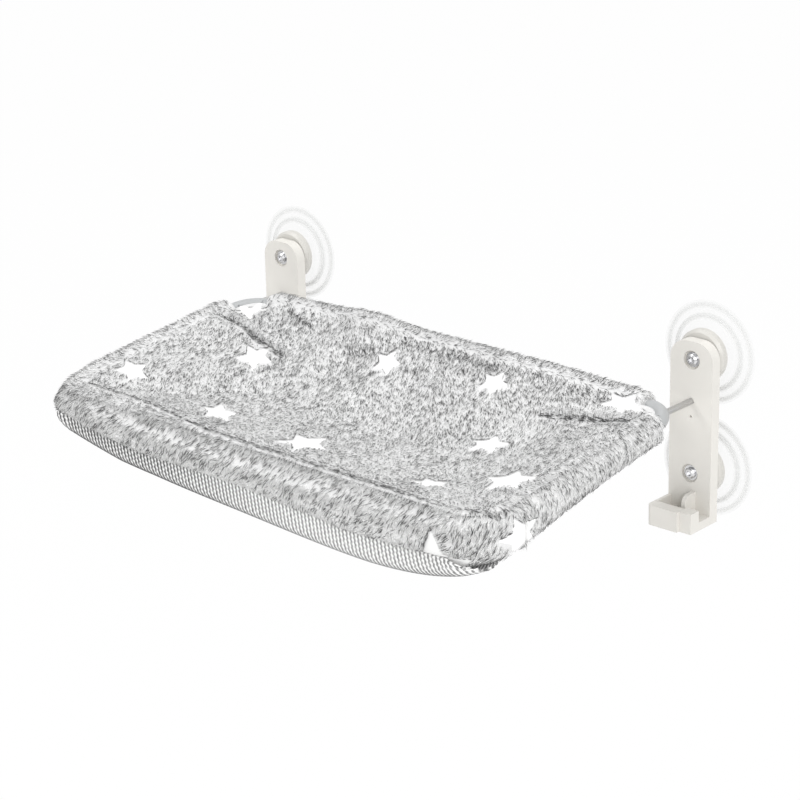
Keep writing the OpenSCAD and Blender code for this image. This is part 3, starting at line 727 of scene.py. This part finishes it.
grid, faces = bedMesh()
bedPiece = meshFrom("plushBed", toRoom(grid.reshape(-1, 3)), faces)
pickOnly(bedPiece)
bpy.ops.object.mode_set(mode="EDIT")
bpy.ops.mesh.select_all(action="SELECT")
bpy.ops.mesh.remove_doubles(threshold=0.00005)
bpy.ops.mesh.normals_make_consistent(inside=False)
bpy.ops.object.mode_set(mode="OBJECT")
puffed(bedPiece, cover["capBed"], crownOnly)
marked(bedPiece, bedStars)
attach(bedPiece, "perch")
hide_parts("plush_bed", "filling_pad")
dress(bedPiece, plushBase)
smooth(bedPiece)
print("   plushBed", len(bedPiece.data.vertices), "points")
backPiece = softPiece("backRoll", ["back_roll"], cover["capRoll"], outerOnly)
leftPiece = softPiece("sideRollLeft", ["side_roll_left"], cover["capRoll"], outerOnly)
rightPiece = softPiece("sideRollRight", ["side_roll_right"], cover["capRoll"], outerOnly)
bolsterPiece = softPiece("frontBolster", ["front_bolster"], cover["capBolster"], outerOnly)

half = 2 * sling["straight"] + 2 * bend + flank  # half the outline's length


def knitPlace(u, w):
    # u along the outline; w 0 at the band's top edge, 1 at the foot's inner side, 2 at the belly's middle
    x, y, f = edgePlace(u, 0 * u)
    drop, level = wallDrop(u), knit["level"]
    r = footAt(f) + knit["gap"] + knit["corner"] * f * (1 - f) + knit["face"]
    start = knit["sideAngle"] * (1 - f)
    turn = np.clip((w - level) / (1 - level), 0, 1)
    angle = np.radians(start + (knit["inAngle"] - start) * turn)
    rise = np.clip(1 - w / level, 0, 1) * knit["lap"] * drop * f
    wx, wy, _ = edgePlace(u, -r * np.cos(angle))
    wz = -drop - r * np.sin(angle) + rise
    # belly part, from the inner side of the foot to the middle
    t = np.clip(w - 1, 0, 1)
    bx, by, _ = edgePlace(u, knitIn + (sling["deep"] / 2 - knitIn) * t)
    rim = knitRim(u, f)
    bz = rim + (knit["belly"] - rim) * (1 - (1 - t) ** 2) - knit["face"]
    under = (w > 1).astype(float)
    down = np.clip(w / level, 0, 1)
    lower = np.interp(x, *lie["foot"]) * down * (1 - ease(t, 0, 0.5))
    z = wz + (bz - wz) * under - (np.interp(x, *lie["hem"]) * (1 - down) + lower) * f * f
    return np.stack([wx + (bx - wx) * under, wy + (by - wy) * under, z], axis=-1)


def knitSheet(name, us, ws, deep, shade, closed=False):
    # a ribbed sheet: pale ribs, sunken furrows between with painted shade, broken into stitches towards the
    # upper edge
    u, w = np.meshgrid(us, ws)
    place = knitPlace(u, w)
    along = np.gradient(place, axis=0)
    way = np.cumsum(np.linalg.norm(along, axis=-1), axis=0)
    across = np.gradient(place, axis=1)
    outward = np.cross(across, along)
    outward /= np.maximum(np.linalg.norm(outward, axis=-1), 1e-9)[..., None]
    pitch = 2 * half / knit["ribs"]
    slant = np.minimum(w, 0.9) ** 2 * (knit["slant"] + knit["slantRight"] * ease(u, 110, 235))
    rib = (u - slant) / pitch
    column = np.abs(np.mod(rib, 1) - 0.5) * 2
    stitch = 0.5 + 0.5 * np.cos(2 * math.pi * (way / knit["stitch"] + 0.5 * np.floor(rib)))
    upper = 1 - ease(w, *knit["stitches"])
    furrow = ease(column, *knit["furrow"])
    # painted shade in the small pits between the stitches
    pit = knit["pit"] * (1 - furrow) * upper * (1 - stitch)
    high = 1 - furrow * (1 - knit["over"] * upper * stitch) - pit
    # the furrows and their painted shade are deeper towards the left end; shade scales how deep and dark the
    # furrows are
    high = 1 - (1 - high) * shade * (1 + knit["left"] * ease(-u, -120, 180))
    place = place + outward * (deep * (high - knit["base"]))[..., None]
    obj = meshFrom(name, toRoom(place.reshape(-1, 3)), gridFaces(*u.shape, closed))
    addValues(obj, "knitHigh", high.ravel())
    return obj


bandColumns = np.arange(-284, 284.01, 0.62)
bandRows = np.concatenate([np.linspace(0, 0.35, 16), np.linspace(0.38, 0.9, 22)])
bandPiece = knitSheet("knitBand", bandColumns, bandRows, knit["ribHigh"], 1.0)
applied(bandPiece, "SOLIDIFY", thickness=knit["wall"] / 1000, offset=-1)
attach(bandPiece, "perch")
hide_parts("knit_underside")
dress(bandPiece, knitRib)
smooth(bandPiece)

underColumns = np.linspace(-half, half, 5 * knit["ribs"] + 1)[:-1]
underRows = np.concatenate([np.linspace(0.9, 1, 3), np.linspace(1.04, 1.985, 22)])
knitPiece = knitSheet("knitUnderside", underColumns, underRows, 0.5, 0.75, closed=True)
print("   knit", len(bandPiece.data.vertices), len(knitPiece.data.vertices), "points")
applied(knitPiece, "SOLIDIFY", thickness=knit["wall"] / 1000, offset=-1)
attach(knitPiece, "perch")
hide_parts("knit_underside")
dress(knitPiece, knitRib)
smooth(knitPiece)


print("stage: pile")
# root, lift and brink in millimetres; the others are shares of what their names say
tuft = {"root": 0.4, "lift": 1.2, "brink": 4.5, "flat": 0.5, "widest": 0.42, "droop": 0.2,
        "starKept": 0.45, "starLong": 0.45, "starWide": 1.5, "starLean": 0.2, "elbowLong": 0.45,
        "hemDark": 0.4, "brinkShade": 0.9}
# shades of the fibres' tone: the shade near the stars is painted shade round their edges, the lift at the
# hem is painted light, and dark is the tone of the dark strokes, painted shade between the tufts; cloud and
# fibre vary at random
shades = {"cloud": 0.03, "fibre": 0.06, "starEdgeShade": 0.16, "hem": 0.05, "palest": 0.55, "dark": (-0.5, -0.34)}
alongCrease = np.array([0.97, -0.1, 0.0])  # which way the dark strokes of painted crease shade lie along a crease

# lines in the sling's plane, half width in millimetres and share
# painted shade: dark strokes in the creases along the front crest, the folds from the back corners and
# places along the back
creaseShadeLines = [([(-236, -236), (-222, -243), (-139, -245), (-55, -258), (60, -259), (173, -259),
           (229, -259), (262, -246)], 2.1, 0.75),
         ([(-252, -58), (-220, -53), (-186, -62), (-150, -72)], 2.8, 0.6),
         ([(258, -49), (215, -43), (178, -50), (151, -56)], 2.8, 0.6),
         ([(-190, -14), (-168, -20), (-150, -26)], 3.5, 0.85),
         ([(-40, -14), (60, -17), (160, -16), (225, -18)], 8.0, 0.3),
         ([(-80, -3), (-73, -3)], 1.6, 1.0)]
# painted highlight along the crests: the folds from the back corners and the front crest
highlightRidges = [([(-256, -50), (-220, -45), (-186, -54), (-150, -64)], 3.6, 0.35),
          ([(262, -42), (215, -35), (178, -43), (151, -49)], 3.4, 0.35),
          ([(-240, -226), (-222, -236), (-139, -239), (-55, -251), (60, -252), (229, -252)], 3.6, 0.35)]


def shareNear(p, lines):
    total = np.zeros(len(p))
    for points, wide, share in lines:
        total = np.maximum(total, share * hump(nearLine(p[:, 0], p[:, 1], points)[0], 0, wide))
    return total * (p[:, 2] > -12)


def flatOn(n, way):
    # the part of a way that lies in the surface
    return way - n * np.sum(way * n, axis=1)[:, None]


def unit(way):
    return way / np.maximum(np.linalg.norm(way, axis=1), 1e-6)[:, None]


def rootsOn(obj, chosen, look, rng):
    # places of the fibres over the chosen faces; each face gets as many as its area asks for
    centre, normal = faceValues(obj, "center", 3), faceValues(obj, "normal", 3)
    size = faceValues(obj, "area") * 1e6
    p = toSling(centre)
    n = toSling(centre + normal * 0.001) - p
    pick = np.where(chosen(p, n))[0]
    pick = np.repeat(pick, rng.poisson(size[pick] / look["area"]))
    p, n = p[pick], n[pick]
    p = p + flatOn(n, rng.uniform(-0.5, 0.5, (len(pick), 3)) * np.sqrt(size[pick])[:, None])
    star = (starShare(p, look["stars"]) > 0.5).astype(float)
    # the stars are sheared: sparse and short
    kept = (star == 0) | (rng.uniform(0, 1, len(pick)) < tuft["starKept"])
    return p[kept], n[kept], star[kept]


def fibresOn(obj, chosen, comb, look, seed):
    # five points for each fibre, its tone, and whether it stands in a star
    rng = np.random.default_rng(seed)
    p, n, star = rootsOn(obj, chosen, look, rng)
    m, marks = len(p), look["stars"]
    way = unit(flatOn(n, comb(p, n)))
    side = np.cross(way, n)
    turn = look["spread"] * (0.45 * waves(p, 60, seed + 1) + rng.normal(0, 0.5, m))[:, None]
    way, side = way * np.cos(turn) + side * np.sin(turn), side * np.cos(turn) - way * np.sin(turn)
    long = rng.uniform(*look["long"], m) * np.where(offElbow(p + way * 6), 1, tuft["elbowLong"])
    # painted shade along the pile's edge on the upper left of each star: fibres there lie along that edge
    # and are mostly dark
    right, down = starShare(p + [1.6, -1.3, 0.0], marks), starShare(p + [1.4, 0.0, -1.6], marks)
    brink = (star == 0) & (np.maximum(right, down) > 0.5)
    slope = np.stack([starShare(p[brink] + 0.8 * axis, marks) - starShare(p[brink] - 0.8 * axis, marks)
                      for axis in np.eye(3)], axis=1)
    way[brink] = unit(np.cross(n[brink], slope))
    side[brink] = np.cross(way[brink], n[brink])
    long[brink] = np.minimum(long[brink], tuft["brink"])
    # no fibre crosses a star's edge
    crossed = np.ones(m)
    for k in (1.0, 0.8, 0.6, 0.4, 0.2):
        inside = starShare(p + way * (long * k)[:, None], marks) > 0.5
        crossed = np.where(inside != (star > 0), k - 0.12, crossed)
    strays = (star == 0) & (crossed < 1)
    long *= crossed * np.where(star > 0, tuft["starLong"], 1.0)
    # dark strokes, painted shade between the tufts: everywhere a few, more as painted shade along the
    # creases and round the stars
    # painted light along the hem: fewer dark strokes and a paler tone there, to make up for the shade under
    # the hem
    atHem = (p[:, 1] < -238) & (p[:, 2] < hemHeight(p) + 9)
    leftEnd = (p[:, 0] < -140) & (p[:, 1] < -200)
    broken = np.clip(0.75 + 0.5 * waves(p, 24, 77), 0.25, 1) * np.where(leftEnd, 0.4, 1)
    chance = look["dark"] * (1 + 0.14 * waves(p, 70, seed + 9)) * np.where(atHem, tuft["hemDark"], 1)
    chance = chance + shareNear(p, creaseShadeLines) * broken + tuft["brinkShade"] * brink
    dark = (rng.uniform(0, 1, m) < chance) & (star == 0) & (~strays | brink)
    # the dark strokes of painted crease shade in the first three creases lie along the crease
    creaseStrokes = (dark & (shareNear(p, creaseShadeLines[:3]) > 0.25))[:, None]
    way = np.where(creaseStrokes, alongCrease - n * (n @ alongCrease)[:, None], way)
    side = np.where(creaseStrokes, np.cross(way, n), side)
    rise = np.radians(rng.uniform(*look["lean"], m)) * np.where(star > 0, tuft["starLean"], 1.0)
    rise = (rise + dark * 0.03)[:, None]
    share = np.where(star > 0, tuft["starWide"], np.where(dark, look["stroke"], 1.0))
    thick = (look["wide"] * rng.uniform(0.7, 1.3, m) * share)[:, None] / 2
    # a root, three points round the widest place, and a tip that droops
    up = way * np.cos(rise) + n * np.sin(rise)
    low = way * np.cos(rise * tuft["droop"]) + n * np.sin(rise * tuft["droop"])
    cross = np.cross(side, up)
    points = np.empty((m, 5, 3))
    points[:, 0] = p + n * (dark * tuft["lift"] - tuft["root"])[:, None]
    mid = points[:, 0] + up * (tuft["widest"] * long)[:, None]
    for k, (a, b) in enumerate([(0.0, 1.0), (0.87, -0.5), (-0.87, -0.5)]):
        points[:, 1 + k] = mid + side * (a * thick) - cross * (b * thick * tuft["flat"])
    points[:, 4] = mid + low * ((1 - tuft["widest"]) * long)[:, None]
    # painted shade round each star: fibres just outside it are darker
    starEdgeShade = (star == 0) * starShare(p, marks) * 2
    # painted light and shade in the tone: a painted highlight on the ridges, pale on the walls and front,
    # one side lighter and the middle darker
    tone = 0.5 + look["pale"] + shareNear(p, highlightRidges) + shades["cloud"] * waves(p, 60, 21)
    tone = tone + rng.normal(0, shades["fibre"], m)
    q = p[:, 0] / sling["halfWide"]
    tone = tone - shades["starEdgeShade"] * starEdgeShade + look["tilt"] * q - look["middle"] * (1 - q * q)
    tone = np.minimum(tone + shades["hem"] * atHem, shades["palest"])
    tone = np.where(dark, rng.uniform(*shades["dark"], m), tone)
    return points, tone, star


def pileOn(name, obj, chosen, comb, look, seed, pieces=1):
    # the fibres as closed spindles of six faces, in as many pieces as asked for from left to right
    points, tone, star = fibresOn(obj, chosen, comb, look, seed)
    order = np.argsort(points[:, 0, 0], kind="stable")
    spindle = np.array([(0, 1, 2), (0, 2, 3), (0, 3, 1), (4, 2, 1), (4, 3, 2), (4, 1, 3)])
    for number, group in enumerate(np.array_split(order, pieces)):
        m = len(group)
        label = name + (str(number + 1) if pieces > 1 else "")
        corners = (spindle[None] + 5 * np.arange(m)[:, None, None]).reshape(-1, 3)
        made = bpy.data.meshes.new(label)
        made.vertices.add(5 * m)
        made.vertices.foreach_set("co", toRoom(points[group].reshape(-1, 3)).ravel())
        made.loops.add(3 * len(corners))
        made.loops.foreach_set("vertex_index", corners.astype(np.int32).ravel())
        made.polygons.add(len(corners))
        made.polygons.foreach_set("loop_start", np.arange(0, 3 * len(corners), 3, dtype=np.int32))
        made.update(calc_edges=True)
        made.validate()
        pile = bpy.data.objects.new(label, made)
        bpy.context.scene.collection.objects.link(pile)
        addValues(pile, "pileTone", np.repeat(tone[group], 5))
        addValues(pile, "pileStar", np.repeat(star[group], 5))
        # the root's low height reads as painted shade at each fibre's root
        addValues(pile, "pileTip", np.tile([look["root"], 0.6, 0.6, 0.6, 1.0], m))
        dress(pile, plushPile)
        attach(pile, "perch")
        print("  ", label, m, "fibres,", 6 * m, "faces")


def offElbow(p):
    # clear of the bare elbows at the back corners
    edge, _ = fromTube(p)
    x, y = np.abs(p[:, 0]) - sling["straight"], p[:, 1] + sling["corner"]
    return (x < 3) | (y < 3) | (edge < -5.6)


def onBed(p, n):
    return (n[:, 2] > 0.2) & (p[:, 2] > -26) & offElbow(p)


def outside(p, n, far):
    # the rolls' outer face, and not the wall of the tunnel, which faces the tube
    return (far > 11) | ((far > 6.5) & (fromTube(p + n)[1] > far + 0.3))


def onRoll(p, n):
    edge, far = fromTube(p)
    # at the bare elbows the bed doesn't lap over, so the roll's end is furred all over
    end = (np.abs(p[:, 0]) > 222) & (p[:, 1] > -36) & (edge > -7)
    return outside(p, n, far) & ((edge > 2) | end)


def onBolster(p, n):
    edge, far = fromTube(p)
    front = (p[:, 1] < -sling["deep"] + 20) & (p[:, 2] < hemHeight(p) + 1.5)
    return outside(p, n, far) & (edge > 2) & ~front & (n[:, 2] > -0.8)


def outwards(p, wideOf, frontOf, backOf, back):
    # away from the middle at the sides, the front and the back
    return np.stack([np.sign(p[:, 0]) * (np.abs(p[:, 0]) > wideOf),
                     -1.0 * (p[:, 1] < frontOf) + back * (p[:, 1] > backOf), 0 * p[:, 0]], axis=1)


def combBed(p, n):
    # up the slope to the front in the middle, outwards over the crest at the rim
    edge, _ = fromTube(p)
    rim = (ease(edge, -14, -2) * offElbow(p + np.sign(p) * 6))[:, None]
    out = outwards(p, 240, -240, -18, 0.7)
    return np.array([0.42, -0.9, 0.0]) * (1 - rim) + (out + np.array([0.1, -0.3, 0.0])) * rim


def combRoll(p, n):
    # over the crest and down the outside
    out = outwards(p, 235, -232, -26, 0.6)
    front = ease(-p[:, 1], 225, 250)[:, None]
    # over the gap between the bolster's ends and the side rolls
    across = (ease(p[:, 1], -236, -222) * (p[:, 1] < -212))[:, None] * np.array([0.0, 1.1, 0.0])
    down = np.array([0.15, -0.25, -1.0]) * (1 - front) + np.array([-0.8, -0.25, -1.0]) * front
    return across + out * 0.8 + down


# area for a fibre in square millimetres; length and width in millimetres; lean in degrees;
# spread of the ways; share and width of the dark strokes, painted shade between the tufts; the rest
# are shades of grey: root sets how dark the painted shade at the fibres' roots is, and pale, tilt and
# middle are painted light and shade, with paler walls and front, one side lighter and the middle darker
crownLook = {"area": 1.75, "long": (4.0, 7.2), "wide": 1.05, "lean": (4, 12), "spread": 0.45,
             "dark": 0.21, "stroke": 0.62, "pale": 0.0, "root": 0.35, "tilt": -0.03, "middle": 0.11,
             "stars": bedStars}
wallLook = {"area": 1.85, "long": (3.8, 6.8), "wide": 1.15, "lean": (3, 11), "spread": 0.5,
            "dark": 0.12, "stroke": 0.62, "pale": 0.16, "root": 0.6, "tilt": 0.05, "middle": 0.02,
            "stars": wallStars}
frontLook = {"area": 1.8, "long": (5.0, 9.0), "wide": 1.12, "lean": (2, 9), "spread": 0.45,
             "dark": 0.155, "stroke": 0.64, "pale": 0.24, "root": 0.6, "tilt": 0.1, "middle": 0.0,
             "stars": wallStars}
pileOn("pileBed", bedPiece, onBed, combBed, crownLook, 31, 4)
pileOn("pileBack", backPiece, onRoll, combRoll, wallLook, 32)
pileOn("pileLeft", leftPiece, onRoll, combRoll, wallLook, 33)
pileOn("pileRight", rightPiece, onRoll, combRoll, wallLook, 34)
pileOn("pileBolster", bolsterPiece, onBolster, combRoll, frontLook, 35)

print("stage: done")
